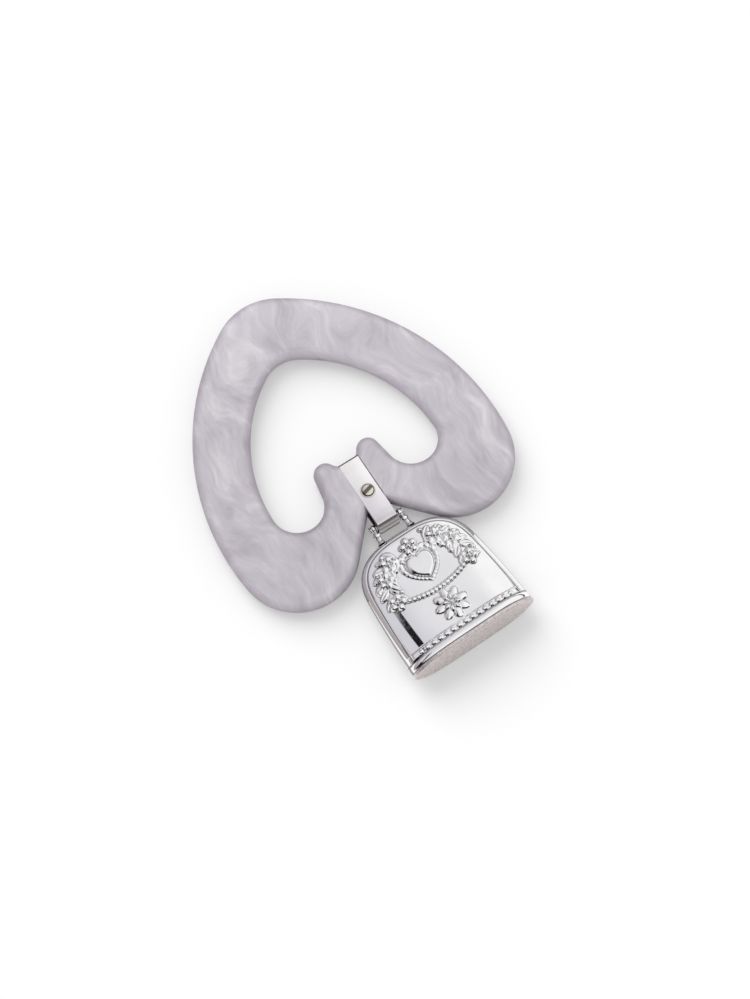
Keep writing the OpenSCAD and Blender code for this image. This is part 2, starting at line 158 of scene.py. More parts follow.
# Places in the frame: the hinge of the bell, and the line through the centres of the heart's lobes
swing = next(joint for joint in frame["joints"] if joint["name"] == "bell_swing")
PIN_POINT = np.array(swing["pos_m"]) / MM
LOBE_LINE_Y = PIN_POINT[1] + PIN_DROP
BELL_YAW = math.atan2(swing["axis"][1], swing["axis"][0])
BELL_PITCH = math.atan2(PLATE_HALF_T, -MOUTH_Y) - math.asin(
    (MID_Z - TABLE_GAP) / math.hypot(MOUTH_Y, PLATE_HALF_T)
)
PIN_FRAME = Matrix.Translation(Vector(PIN_POINT)) @ Matrix.Rotation(BELL_YAW, 4, "Z")
BELL_FRAME = PIN_FRAME @ Matrix.Rotation(-BELL_PITCH, 4, "X")
HEART_FRAME = Matrix.Translation((0, LOBE_LINE_Y, 0))


# Meshes


def to_mesh(name, points, faces, place):
    """A mesh from points in millimetres, moved to its place."""
    mesh = bpy.data.meshes.new(name)
    mesh.from_pydata(np.asarray(points, float).tolist(), [], [list(map(int, face)) for face in faces])
    mesh.transform(Matrix.Scale(MM, 4) @ place)
    return mesh


def shade_smooth(mesh, sharp):
    """Smooth shading with sharp edges where faces meet at more than the given angle in degrees."""
    mesh.polygons.foreach_set("use_smooth", np.ones(len(mesh.polygons), bool))
    mesh.set_sharp_from_angle(angle=math.radians(sharp))


def add_object(name, data):
    """A new object in the scene."""
    thing = bpy.data.objects.new(name, data)
    bpy.context.scene.collection.objects.link(thing)
    return thing


def add_piece(name, mesh, material, body, node, sharp=40):
    """A piece that rides a body and stands for a CAD node."""
    shade_smooth(mesh, sharp)
    mesh.materials.append(material)
    piece = add_object(name, mesh)
    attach(piece, body)
    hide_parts(node)
    return piece


def grid_faces(rows, columns, wrap_rows=False, wrap_columns=False):
    """Quads of a grid of points that is stored row by row."""
    i = np.arange(rows if wrap_rows else rows - 1)[:, None]
    j = np.arange(columns if wrap_columns else columns - 1)[None, :]
    below, after = (i + 1) % rows, (j + 1) % columns
    corners = [i * columns + j, i * columns + after, below * columns + after, below * columns + j]
    return np.stack([np.broadcast_to(c, (i.size, j.size)) for c in corners], -1).reshape(-1, 4)


def loft(sections):
    """Points and faces of a closed tube through sections of equal length, with both ends capped."""
    rows, columns = sections.shape[:2]
    faces = grid_faces(rows, columns, wrap_columns=True).tolist()
    faces.append(list(range(columns))[::-1])
    faces.append(list(range((rows - 1) * columns, rows * columns)))
    return sections.reshape(-1, 3), faces


def lathe(profile, segments=96):
    """Points and faces of a solid turned about Z from (radius, height) points, lowest first."""
    turn = np.linspace(0, 2 * math.pi, segments, endpoint=False)
    circle = np.column_stack([np.cos(turn), np.sin(turn)])
    return loft(np.array([np.hstack([r * circle, np.full((segments, 1), z)]) for r, z in profile]))


def turned_ring(profile, segments=96):
    """Points and faces of a ring turned about Z from a closed profile of (radius, height) points."""
    points, _ = lathe(profile, segments)
    return points, grid_faces(len(profile), segments, wrap_rows=True, wrap_columns=True)


def box(low, high):
    """Points and faces of a box."""
    points = [(x, y, z) for z in (low[2], high[2]) for y in (low[1], high[1]) for x in (low[0], high[0])]
    return points, [(0, 2, 3, 1), (4, 5, 7, 6), (0, 1, 5, 4), (2, 6, 7, 3), (0, 4, 6, 2), (1, 3, 7, 5)]


def round_corner(start, corner, end, steps=6):
    """Points of a rounded corner in a profile, from start to end."""
    t = np.linspace(0, math.pi / 2, steps + 1)[:, None]
    start, corner, end = map(np.array, (start, corner, end))
    return (corner + (start - corner) * (1 - np.sin(t)) + (end - corner) * (1 - np.cos(t))).tolist()


def cut_away(piece, mesh, material=None, sharp=30):
    """Subtracts a mesh from a piece. The cut faces get the given material, or else the piece's own."""
    if material:
        mesh.materials.append(material)
    cutter = add_object("cutter", mesh)
    boolean = piece.modifiers.new("cut", "BOOLEAN")
    boolean.operation = "DIFFERENCE"
    boolean.solver = "EXACT"
    boolean.material_mode = "TRANSFER" if material else "INDEX"
    boolean.object = cutter
    piece.data = bpy.data.meshes.new_from_object(piece.evaluated_get(bpy.context.evaluated_depsgraph_get()))
    piece.modifiers.clear()
    bpy.data.objects.remove(cutter)
    shade_smooth(piece.data, sharp)


# Materials


class Graph:
    """Short calls to build a shader tree."""

    def __init__(self, tree):
        self.nodes = tree.nodes
        self.links = tree.links

    def feed(self, socket, value):
        """Links a socket to another, or sets it to a value."""
        if isinstance(value, bpy.types.NodeSocket):
            self.links.new(value, socket)
        else:
            socket.default_value = value

    def fill(self, node, **values):
        """Feeds inputs of a node by their names, which are written with _ for a space."""
        for name, value in values.items():
            self.feed(node.inputs[name.replace("_", " ")], value)
        return node

    def node(self, kind, **values):
        """A new node with some of its inputs filled."""
        return self.fill(self.nodes.new("ShaderNode" + kind), **values)

    def operate(self, kind, operation, values):
        """Outputs of a node that carries out an operation on values."""
        node = self.node(kind)
        node.operation = operation
        for socket, value in zip(node.inputs, values):
            self.feed(socket, value)
        return node.outputs

    def math(self, operation, *values):
        return self.operate("Math", operation, values)[0]

    def product(self, value, *factors):
        for factor in factors:
            value = self.math("MULTIPLY", value, factor)
        return value

    def share(self, value, low, high, curve="LINEAR"):
        """Where a value lies between two bounds, from 0 to 1."""
        node = self.node("MapRange", Value=value, From_Min=low, From_Max=high)
        node.interpolation_type = curve
        return node.outputs["Result"]

    def smooth_step(self, value, low, high):
        return self.share(value, low, high, "SMOOTHSTEP")

    def coordinates(self, kind="Object"):
        return self.node("TexCoord").outputs[kind]

    def along(self, vector, axis):
        """How far a vector reaches along an axis."""
        return self.operate("VectorMath", "DOT_PRODUCT", (vector, axis))["Value"]

    def shifted(self, vector, shift, size):
        """A vector moved by another one, which is multiplied by a size."""
        return self.operate("VectorMath", "MULTIPLY_ADD", (shift, (size,) * 3, vector))["Vector"]

    def mapped(self, vector, scale, turn=0.0):
        """A vector turned about Z, then scaled for each axis."""
        node = self.node("Mapping", Vector=vector, Rotation=(0, 0, turn), Scale=tuple(1 / s for s in scale))
        node.vector_type = "TEXTURE"
        return node.outputs["Vector"]

    def noise(self, vector, scale, detail=3.0, roughness=0.5, output="Fac"):
        node = self.node("TexNoise", Vector=vector, Scale=scale, Detail=detail, Roughness=roughness)
        return node.outputs[output]

    def ramp(self, value, stops):
        """Colours, or greys given as one number, at places from 0 to 1 along a value."""
        node = self.node("ValToRGB", Fac=value)
        node.color_ramp.interpolation = "EASE"
        while len(node.color_ramp.elements) < len(stops):
            node.color_ramp.elements.new(0.5)
        for element, (place, colour) in zip(node.color_ramp.elements, stops):
            element.position = place
            element.color = (*colour, 1) if isinstance(colour, tuple) else (colour, colour, colour, 1)
        return node.outputs["Color"]

    def mix(self, factor, first, second, kind="MIX"):
        """A colour mix of sockets or colours."""
        node = self.node("Mix")
        node.data_type = "RGBA"
        node.blend_type = kind
        for index, value in ((0, factor), (6, first), (7, second)):
            self.feed(node.inputs[index], value)
        return node.outputs[2]

    def tinted(self, colour, *tints):
        """A colour multiplied by others."""
        for tint in tints:
            colour = self.mix(1.0, colour, tint, "MULTIPLY")
        return colour

    def bump(self, shader, height, distance):
        node = self.node("Bump", Height=height, Distance=distance)
        self.fill(shader, Normal=node.outputs["Normal"])


def new_material(name, **values):
    """A material whose Principled shader has the given values, with its graph and that shader."""
    material = bpy.data.materials.new(name)
    material.use_nodes = True
    graph = Graph(material.node_tree)
    return material, graph, graph.fill(graph.nodes["Principled BSDF"], **values)


def pearl_acrylic():
    """Milky grey-lilac acrylic with soft pearl clouds and feathery streaks, with painted shade on its rims
    where it is seen edge-on, and painted shading across the sheet.
    """
    material, graph, shader = new_material(
        "pearl_acrylic", Roughness=0.35, Specular_IOR_Level=0.06, Coat_Weight=0.04, Coat_Roughness=0.12,
        Subsurface_Weight=0.4, Subsurface_Scale=1.2 * MM, Subsurface_Radius=(1.0, 0.92, 1.0),
    )
    # Counts per metre across and along the clouds and the streaks, and how far both sway
    cloud_counts, cloud_turn = (170, 75, 75), math.radians(14)
    streak_counts, streak_turn = (820, 130, 130), math.radians(8)
    sway_count, sway = 42, 30 * MM
    place = graph.coordinates()
    drift = graph.shifted(place, graph.noise(place, sway_count, detail=2.0, output="Color"), sway)
    clouds = graph.noise(graph.mapped(drift, cloud_counts, cloud_turn), 1.0, detail=4.0, roughness=0.6)
    streaks = graph.noise(graph.mapped(drift, streak_counts, streak_turn), 1.0, detail=5.0, roughness=0.65)
    body = graph.ramp(clouds, [
        (0.30, (0.515, 0.48, 0.525)),
        (0.5, (0.615, 0.58, 0.625)),
        (0.70, (0.735, 0.712, 0.75)),
    ])
    feathers = graph.ramp(streaks, [(0.3, 0.91), (0.5, 0.99), (0.7, 1.08)])
    # Painted shading: the sheet is darker at the left lobe and lighter towards the right of the heart's point
    towards_point = graph.share(graph.along(place, (0.6, 0.8, 0)), -30 * MM, 35 * MM)
    painted_falloff = graph.ramp(towards_point, [(0.0, 0.92), (0.5, 0.965), (0.85, 1.0), (1.0, 1.07)])
    # Facing is 0 where the surface faces the eye and 1 where it is seen edge-on
    facing = graph.node("LayerWeight").outputs["Facing"]
    # Painted shade on the rims: the colour darkens the more the surface is seen edge-on
    depth = graph.ramp(facing, [
        (0.055, 1.0),
        (0.14, (0.93, 0.92, 0.93)),
        (0.4, (0.82, 0.80, 0.82)),
        (0.62, (0.70, 0.665, 0.70)),
        (0.85, (0.56, 0.52, 0.56)),
        (1.0, (0.40, 0.36, 0.40)),
    ])
    graph.fill(shader, Base_Color=graph.tinted(body, feathers, painted_falloff, depth))
    return material


def polished_silver():
    """Mirror-bright silver with faint handling marks, darker in the chased recesses and where shade is
    painted.
    """
    material, graph, shader = new_material("polished_silver", Metallic=1.0)
    bright, dark_tone = (0.96, 0.952, 0.955, 1), (0.12, 0.11, 0.12, 1)
    # Counts per metre of the uneven casts, and of the marks along each turned axis
    cast_count, mark_counts, mark_turn = 240, (900, 5200, 900), 0.6
    place = graph.coordinates()
    recess = graph.node("Attribute")
    recess.attribute_name = RECESS
    # The recess attribute darkens the silver with tarnish in hollows and creases, and with painted shade
    # along the back shell's outline
    tone = graph.mix(recess.outputs["Fac"], bright, dark_tone)
    cast = graph.noise(place, cast_count)
    tint = graph.ramp(cast, [(0.35, 0.97), (0.65, 1.0)])
    graph.fill(shader, Base_Color=graph.tinted(tone, tint))
    marks = graph.noise(graph.mapped(place, mark_counts, mark_turn), 1.0, detail=2.0)
    graph.fill(shader, Roughness=graph.ramp(marks, [(0.4, 0.03), (0.7, 0.06)]))
    graph.bump(shader, cast, 0.004 * MM)
    return material


def painted_fold_reflections(graph, place):
    """Painted reflections and shade up the strap's fold, and the share of bare metal there, from its back to
    its top, which are bare.
    """
    bare, black, painted_glint = 1.0, (0.09, 0.075, 0.07), (1.0, 0.95, 0.90)
    height = graph.share(graph.along(place, (0, 0, 1)), STRAP_LOW_Z * MM, STRAP_TOP_Z * MM)
    # Painted bands up the fold: bare metal, a dark painted reflection, a pale painted glint, painted greys, a
    # dark painted line, then bare metal again
    tint = graph.ramp(height, [
        (0.04, bare),
        (0.10, black),
        (0.40, black),
        (0.47, painted_glint),
        (0.68, painted_glint),
        (0.75, (0.46, 0.435, 0.415)),
        (0.86, (0.55, 0.52, 0.50)),
        (0.935, (0.19, 0.175, 0.17)),
        (0.96, (0.08, 0.07, 0.075)),
        (0.975, bare),
    ])
    # Metallic is low where the fold is painted, so that the painted colours show
    return tint, graph.ramp(height, [(0.04, 1.0), (0.10, 0.15), (0.955, 0.15), (0.975, 1.0)])


def strap_silver():
    """Brushed silver, with painted shade that darkens it towards the fold and on its cut ends, and painted
    reflections in the fold.
    """
    material, graph, shader = new_material("drawn_silver")
    bright, dimmer_tone, dark_tone = (0.99, 0.965, 0.955), (0.85, 0.82, 0.855), (0.13, 0.10, 0.09)
    # Counts per metre of the uneven casts, and of the brushed lines along each axis
    cast_count, line_counts = 420, (2600, 120, 2600)
    place = graph.coordinates()
    # Along the strap, from the fold to its ends
    fold, end = LOBE_LINE_Y + STRAP_END_Y, LOBE_LINE_Y + NOTCH_RISE + STRAP_LEAD
    along = graph.share(graph.along(place, (0, 1, 0)), fold * MM, end * MM)
    # Painted shade along the strap, from the fold to its ends: a darker band just above the fold, lighter
    # towards the screw, and a painted shadow on the cut ends
    shade = graph.ramp(along, [
        (0.06, dimmer_tone),
        (0.10, (0.65, 0.625, 0.655)),
        (0.17, (0.77, 0.745, 0.775)),
        (0.27, dimmer_tone),
        (0.8, bright),
        (0.976, bright),
        (0.984, dark_tone),
    ])
    painted_fold, metal = painted_fold_reflections(graph, place)
    cast = graph.ramp(graph.noise(place, cast_count), [(0.3, 0.96), (0.7, 1.0)])
    graph.fill(shader, Base_Color=graph.tinted(shade, painted_fold, cast), Metallic=metal)
    lines = graph.noise(graph.mapped(place, line_counts), 1.0)
    graph.fill(shader, Roughness=graph.ramp(lines, [(0.3, 0.1), (0.7, 0.15)]))
    graph.bump(shader, lines, 0.002 * MM)
    return material


def fine_metal(name, colour, roughness, depth):
    """Metal with a fine grain of a given depth that varies its polish."""
    material, graph, shader = new_material(name, Metallic=1.0)
    cast_count, grain_count = 420, 1500
    place = graph.coordinates()
    dimmer_tone = tuple(0.93 * c for c in colour)
    tint = graph.ramp(graph.noise(place, cast_count), [(0.3, dimmer_tone), (0.7, colour)])
    graph.fill(shader, Base_Color=tint)
    grain = graph.noise(place, grain_count)
    polish = graph.ramp(grain, [(0.3, 0.85 * roughness), (0.7, 1.2 * roughness)])
    graph.fill(shader, Roughness=polish)
    graph.bump(shader, grain, depth * MM)
    return material


def grained_silver():
    """Sand-blasted silver, brighter on its grains, with a darker pinkish tone that is painted shade."""
    material, graph, shader = new_material("grained_silver", Metallic=1.0, Roughness=0.42)
    grain_count = 2300
    grains = graph.noise(graph.coordinates(), grain_count, detail=2.0)
    # Painted shade: the plate's tone is darker and pinker than the shells' silver; the grain is the metal's
    # own
    tint = graph.ramp(grains, [(0.3, (0.60, 0.54, 0.53)), (0.7, (0.82, 0.75, 0.74))])
    graph.fill(shader, Base_Color=tint)
    graph.bump(shader, grains, 0.03 * MM)
    return material


PEARL = pearl_acrylic()
SILVER = polished_silver()
STRAP_SILVER = strap_silver()
SCREW_METAL = fine_metal("nickel_silver", (0.80, 0.76, 0.68), 0.14, 0.002)
# Painted shade for the faces of the screw's slot and of the groove round its dome
SLOT_SHADE = fine_metal("painted_shade_nickel", (0.17, 0.15, 0.125), 0.3, 0.002)
PLATE_SILVER = grained_silver()
SHOT_STEEL = fine_metal("shot_steel", (0.62, 0.62, 0.64), 0.3, 0.004)


# Heart ring


def unit(angle):
    return np.array([math.cos(angle), math.sin(angle)])


def angle_of(v):
    return math.atan2(v[1], v[0])


def circles_meet(a, radius_a, b, radius_b):
    """Meeting point, left of the line from a to b, of circles about a and b."""
    d = np.linalg.norm(b - a)
    along = (b - a) / d
    t = (radius_a**2 - radius_b**2 + d**2) / (2 * d)
    return a + t * along + math.sqrt(radius_a**2 - t**2) * np.array([-along[1], along[0]])


def arc(centre, radius, start, end, steps, inward):
    """Stations on an arc: each holds a point and the direction into the ring."""
    angles = start + (end - start) * np.arange(steps) / steps
    outward = np.column_stack([np.cos(angles), np.sin(angles)])
    return np.hstack([centre + radius * outward, -outward if inward else outward])


def line(start, end, into, steps):
    """Stations on a straight line, which share one direction into the ring."""
    share = (np.arange(steps) / steps)[:, None]
    return np.hstack([start + (end - start) * share, np.tile(into, (steps, 1))])


def outer_half():
    """Stations of the right half of the heart's outline, from its point to the bottom of its cleft."""
    quarter_turn = math.pi / 2
    tip, lobe, cleft = np.array([0, TIP_RISE]), np.array([LOBE_GAP / 2, 0]), np.array([0, CLEFT_RISE])
    side = circles_meet(lobe, SIDE_R - LOBE_R, tip, SIDE_R - TIP_R)
    top, low = angle_of(tip - side), angle_of(lobe - side)
    flank = angle_of(lobe - cleft) - math.asin(LOBE_R / np.linalg.norm(lobe - cleft))
    flank_top = cleft + CLEFT_R / math.tan(quarter_turn + flank) * unit(flank)
    flank_low = lobe + LOBE_R * unit(flank - quarter_turn)
    cleft_centre = np.array([0, CLEFT_RISE - CLEFT_R / math.sin(quarter_turn + flank)])
    return np.vstack([
        arc(tip, TIP_R, quarter_turn, top, 48, True),
        arc(side, SIDE_R, top, low, 60, True),
        arc(lobe, LOBE_R, low, flank - quarter_turn, 100, True),
        line(flank_low, flank_top, unit(flank + quarter_turn), 20),
        arc(cleft_centre, CLEFT_R, flank + quarter_turn, quarter_turn, 12, False),
        [[0, cleft_centre[1] + CLEFT_R, 0, 1]],
    ])


def hole_half():
    """Stations of the right half of the hole's outline, from its point to the notch between its horns."""
    tip, lobe = np.array([0, HOLE_TIP_RISE]), np.array([HOLE_LOBE_GAP / 2, HOLE_LOBE_RISE])
    side = circles_meet(lobe, HOLE_SIDE_R - HOLE_LOBE_R, tip, HOLE_SIDE_R - HOLE_TIP_R)
    top, low = angle_of(tip - side), angle_of(lobe - side)
    horn = np.array([HORN_GAP / 2, HORN_RISE])
    slant = angle_of(horn - lobe) + math.acos((HOLE_LOBE_R + HORN_R) / np.linalg.norm(horn - lobe))
    sink = NOTCH_RISE - HORN_RISE
    notch_r = (horn[0] ** 2 + sink**2 - HORN_R**2) / (2 * (HORN_R - sink))
    notch = np.array([0, NOTCH_RISE + notch_r])
    turn = angle_of(notch - horn)
    return np.vstack([
        arc(tip, HOLE_TIP_R, math.pi / 2, top, 48, False),
        arc(side, HOLE_SIDE_R, top, low, 60, False),
        arc(lobe, HOLE_LOBE_R, low, slant - 2 * math.pi, 72, False),
        line(lobe + HOLE_LOBE_R * unit(slant), horn - HORN_R * unit(slant), unit(slant), 8),
        arc(horn, HORN_R, slant - math.pi, turn, 40, True),
        arc(notch, notch_r, turn - math.pi, -math.pi / 2, 12, False),
        [[0, NOTCH_RISE, 0, -1]],
    ])


def loop(half):
    """Both halves of an outline as one closed row of stations."""
    return np.vstack([half, half[-2:0:-1] * [-1, 1, -1, 1]])


def edge_points(stations, steps=28):
    """Points of a rolled edge at each station, from the top face to the bottom face."""
    a = np.linspace(math.pi / 2, -math.pi / 2, steps + 1)
    margin = [RING_EDGE + FLAT_MARGIN]
    reach = np.concatenate([margin, RING_EDGE * (1 - np.cos(a)), margin])
    height = np.concatenate([[RING_T], MID_Z + MID_Z * np.sin(a), [0]])
    flat = stations[:, None, :2] + reach[None, :, None] * stations[:, None, 2:]
    return np.dstack([flat, np.broadcast_to(height, flat.shape[:2])])


def ring_blank():
    """Mesh of the ring: two rounded edges, and flat faces filled in between them."""
    shape = bmesh.new()
    for half in (outer_half(), hole_half()):
        band = edge_points(loop(half))
        vertices = [shape.verts.new(point) for point in band.reshape(-1, 3)]
        for face in grid_faces(*band.shape[:2], wrap_rows=True):
            shape.faces.new([vertices[i] for i in face])
    for upper in (False, True):
        rims = [e for e in shape.edges if e.is_boundary and (e.verts[0].co.z > MID_Z) == upper]
        bmesh.ops.triangle_fill(shape, use_beauty=True, edges=rims)
    bmesh.ops.recalc_face_normals(shape, faces=shape.faces)
    mesh = bpy.data.meshes.new("heart_ring")
    shape.to_mesh(mesh)
    shape.free()
    mesh.transform(Matrix.Scale(MM, 4) @ HEART_FRAME)
    return mesh


def heart_ring():
    """The ring, with a flat recess for the strap in both faces of its neck."""
    ring = add_piece("heart_ring", ring_blank(), PEARL, "handle", "teether_ring", 30)
    neck_top = STRAP_TOP_Z - STRAP_T
    half = STRAP_W / 2 + SEAT_GAP
    far = NOTCH_RISE + STRAP_LEAD + HORN_R
    over = box((-half, STRAP_END_Y, neck_top), (half, far, 2 * RING_T))
    under = box((-half, STRAP_END_Y, -RING_T), (half, far, RING_T - neck_top))
    for recess in (over, under):
        cut_away(ring, to_mesh("recess", *recess, HEART_FRAME))


# Strap and screw


def fold_corner(radius, start, centre_z):
    """A quarter turn of the strap's middle line from an angle on, and its directions to the outside."""
    turn = start + np.linspace(0, math.pi / 2, 16)
    facing = np.column_stack([np.cos(turn), np.sin(turn)])
    centre = np.array([STRAP_END_Y + FOLD_SHORTER + radius, centre_z])
    return centre + (radius - STRAP_T / 2) * facing, facing


def strap_path():
    """Middle line of the folded strap seen from its edge: (y, z) points and the directions to its outside."""
    start = NOTCH_RISE + STRAP_LEAD - STRAP_EASE
    steps = np.linspace(0, 1, 30, endpoint=False)
    over, over_facing = fold_corner(TOP_BEND_R, math.pi / 2, STRAP_TOP_Z - TOP_BEND_R)
    under, under_facing = fold_corner(LOW_BEND_R, math.pi, STRAP_LOW_Z + LOW_BEND_R)
    upper_y = start + steps * (over[0, 0] - start)
    lower_y = start + steps[::-1] * (under[-1, 0] - start)
    upper = np.column_stack([upper_y, np.full(steps.size, over[0, 1])])
    lower = np.column_stack([lower_y, np.full(steps.size, under[-1, 1])])
    points = np.vstack([upper, over, under, lower])
    ups, downs = np.tile([0, 1], (steps.size, 1)), np.tile([0, -1], (steps.size, 1))
    return points, np.vstack([ups, over_facing, under_facing, downs])


def strip_section(half_w, half_t, r, steps=4):
    """(across, through) points of a strip's section with rounded corners."""
    points = []
    for turn, (x, t) in enumerate([(1, 1), (-1, 1), (-1, -1), (1, -1)]):
        for a in np.linspace(turn, turn + 1, steps + 1) * math.pi / 2:
            points.append((x * (half_w - r) + r * math.cos(a), t * (half_t - r) + r * math.sin(a)))
    return np.array(points)


def hanger_strap():
    """Folded strip with rounded ends."""
    points, outward = strap_path()
    steps = 5
    shares = 1 - np.cos(np.linspace(math.pi / 2, 0.2, steps))
    whole = strip_section(STRAP_W / 2, STRAP_T / 2, STRAP_ROUND)
    slim = [whole * [1 - share * STRAP_EASE / STRAP_W, 1 - STRAP_END_THINNING * share] for share in shares]
    lead = STRAP_EASE * np.sqrt(1 - (1 - shares) ** 2)[:, None] * [1, 0]
    shapes = slim + [whole] * len(points) + slim[::-1]
    points = np.vstack([points[0] + lead, points, points[-1] + lead[::-1]])
    outward = np.vstack([np.tile(outward[0], (steps, 1)), outward, np.tile(outward[-1], (steps, 1))])
    sections = [
        np.column_stack([shape[:, 0], y + oy * shape[:, 1], z + oz * shape[:, 1]])
        for shape, (y, z), (oy, oz) in zip(shapes, points, outward)
    ]
    mesh = to_mesh("strap", *loft(np.array(sections)), HEART_FRAME)
    add_piece("strap", mesh, STRAP_SILVER, "handle", "hanger_strap", 35)


def strap_screw():
    """Screw head: a pale rim and a slotted dome with a groove between them; the groove and the slot have
    painted shade.
    """
    top = SCREW_HEAD_H + SCREW_DOME_H
    rim, rim_h, ease = SCREW_HEAD_R, SCREW_RIM_H, SCREW_RIM_EASE
    profile = [(rim, 0.0)] + round_corner((rim, rim_h - ease), (rim, rim_h), (rim - ease, rim_h), 3)
    for turn in np.linspace(0, math.pi / 2, 18)[:-1]:
        lift = (top - rim_h) * math.sin(turn) ** SCREW_DOME_POWER
        profile.append((SCREW_DOME_R * math.cos(turn), rim_h + lift))
    place = HEART_FRAME @ Matrix.Translation((0, SCREW_RISE, STRAP_TOP_Z))
    mesh = to_mesh("screw", *lathe(profile), place)
    screw = add_piece("screw", mesh, SCREW_METAL, "handle", "strap_screw", 30)
    groove = turned_ring([
        (GROOVE_OUT_R, GROOVE_FLOOR), (GROOVE_OUT_R, top), (GROOVE_IN_R, top), (GROOVE_IN_R, GROOVE_FLOOR)
    ])
    cut_away(screw, to_mesh("groove", *groove, place), SLOT_SHADE)
    slot = box((-GROOVE_IN_R, -SLOT_W / 2, top - SLOT_DEPTH), (GROOVE_IN_R, SLOT_W / 2, 2 * top))
    cut_away(screw, to_mesh("slot", *slot, place @ Matrix.Rotation(SLOT_TURN, 4, "Z")), SLOT_SHADE)


def screw_barrel():
    """Flat head of the threaded barrel at the back of the strap, with a turned groove in its face."""
    r, face, ease = BARREL_HEAD_R, -BARREL_HEAD_H, BARREL_EASE
    groove_floor = face + BARREL_GROOVE_DEPTH
    profile = list(zip(BARREL_GROOVE_R, (face, groove_floor, groove_floor, face)))
    profile += round_corner((r - ease, face), (r, face), (r, face + ease))
    profile.append((r, 0.0))
    place = HEART_FRAME @ Matrix.Translation((0, SCREW_RISE, STRAP_LOW_Z))
    mesh = to_mesh("barrel", *lathe(profile), place)
    add_piece("barrel", mesh, SCREW_METAL, "handle", "screw_barrel", 30)


# Hinge


def set_recess(piece, shares):
    """Sets the share of tarnish and painted shade at each point of a silver piece, from 0 to 1."""
    values = np.asarray(shares, np.float32)
    piece.data.attributes.new(RECESS, "FLOAT", "POINT").data.foreach_set("value", values)


def hinge_pin():
    """Bar through the lugs with a peened dome on each end."""
    half = LUG_OUT_X + SEAT_GAP
    head, top = PEEN_D / 2, half + PEEN_H
    end = [(PIN_D / 2, half), (head - PEEN_FOOT_INSET, half)]
    end += round_corner((head, half + PEEN_EDGE_H), (head, top), (PEEN_FLAT_R, top))
    profile = [(radius, -z) for radius, z in end[::-1]] + end
    place = PIN_FRAME @ Matrix.Rotation(math.pi / 2, 4, "Y")
    add_piece("pin", to_mesh("pin", *lathe(profile, 64), place), SILVER, "pin", "hinge_pin", 50)


def bulge(y, middle, half, size):
    """Half size at y of an elliptical swelling."""
    return size * math.sqrt(max(0.0, 1 - ((y - middle) / half) ** 2))


def lug_half(y, foot, way):
    """Half size of a lug at y: across it for way 0, through it for way 1."""
    spread = FOOT_SPREADS[way] * math.exp(-(((y - foot) / FOOT_RISE) ** 2))
    waist = WAIST_HALVES[way] if y < -KNUCKLE_LEN / 2 else 0.0
    knuckle = bulge(y, 0, KNUCKLE_LEN, KNUCKLE_HALVES[way])
    collar = bulge(y, COLLAR_Y, COLLAR_LENS[way], COLLAR_HALVES[way])
    return max(waist + spread, knuckle, collar, LEAST_HALF)


def lug(name, node, side):
    """Turned ear: a round knuckle on the pin, a collar, a waist and a foot that spreads on the crown."""
    foot = -CROWN_DROP - arch_drop(LUG_OUT_X)
    turn = np.linspace(0, 2 * math.pi, 40, endpoint=False)
    tip = KNUCKLE_LEN * np.sin(np.linspace(-0.45, 0.5, 32) * math.pi)
    sections, darkening = [], []
    for y in np.unique(np.concatenate([np.linspace(foot, -KNUCKLE_LEN, 40), tip])):
        lean = LUG_FLARE * max(0.0, y / foot)
        x = LUG_IN_X + LUG_T / 2 - LUG_SHIFT + lean
        across = x + lug_half(y, foot, 0) * np.cos(turn)
        through = lug_half(y, foot, 1) * np.sin(turn)
        sections.append(np.column_stack([side * across, np.full(turn.size, y), through]))
        creases = sum(math.exp(-(((y - at) / CREASE_W) ** 2)) for at in (*LUG_CREASES, foot))
        darkening.append(np.full(turn.size, CREASE_TARNISH * min(1.0, creases)))
    points, faces = loft(np.array(sections))
    faces = [face[::-side] for face in faces]
    piece = add_piece(name, to_mesh(name, points, faces, BELL_FRAME), SILVER, "bell", node, 60)
    set_recess(piece, np.concatenate(darkening))


# Bell


def arch_share(d):
    return (1 - (1 - np.minimum(d / ARCH_H, 1)) ** ARCH_POWER) ** (1 / ARCH_POWER)


def arch_drop(x):
    """Depth of the crown's outline at distance x from the middle."""
    return ARCH_H * (1 - (1 - (2 * x / BELL_TOP_W) ** ARCH_POWER) ** (1 / ARCH_POWER))


def smooth_step(value, low, high):
    t = np.clip((value - low) / (high - low), 0, 1)
    return t * t * (3 - 2 * t)


def half_width(d):
    flare = (BELL_BASE_W - BELL_TOP_W) * np.maximum(1 - d / BELL_LEN, 0) ** SIDE_POWER
    return (BELL_BASE_W - flare) / 2 * arch_share(d)


def half_thickness(d):
    roll = np.minimum(d / CROWN_ROLL, 1)
    wedge = (CROWN_T + (BELL_BASE_T - CROWN_T) * d / BELL_LEN) / 2
    band = smooth_step(d, BELL_LEN - BAND_H, BELL_LEN - BAND_H + BAND_SLOPE)
    return wedge * np.sqrt(1 - (1 - roll) ** 2) - BAND_PROUD * (1 - band) * roll


def lens(u):
    return np.maximum(1 - np.abs(u) ** LENS_POWER, 0) ** SEAM_POWER


def turned(x, d, at, turn):
    """Distances along and across a direction, measured from a point."""
    along = (x - at[0]) * math.cos(turn) + (d - at[1]) * math.sin(turn)
    across = (d - at[1]) * math.cos(turn) - (x - at[0]) * math.sin(turn)
    return along, across


def beside(at, distance, angle):
    """The point at a distance from another in a direction."""
    return at[0] + distance * math.cos(angle), at[1] + distance * math.sin(angle)


def dome(x, d, at, size, height, turn=0.0):
    """Height of an elliptical dome; size is its half length and half width."""
    along, across = turned(x, d, at, turn)
    return height * np.clip(1 - (along / size[0]) ** 2 - (across / size[1]) ** 2, 0, 1) ** PUFF


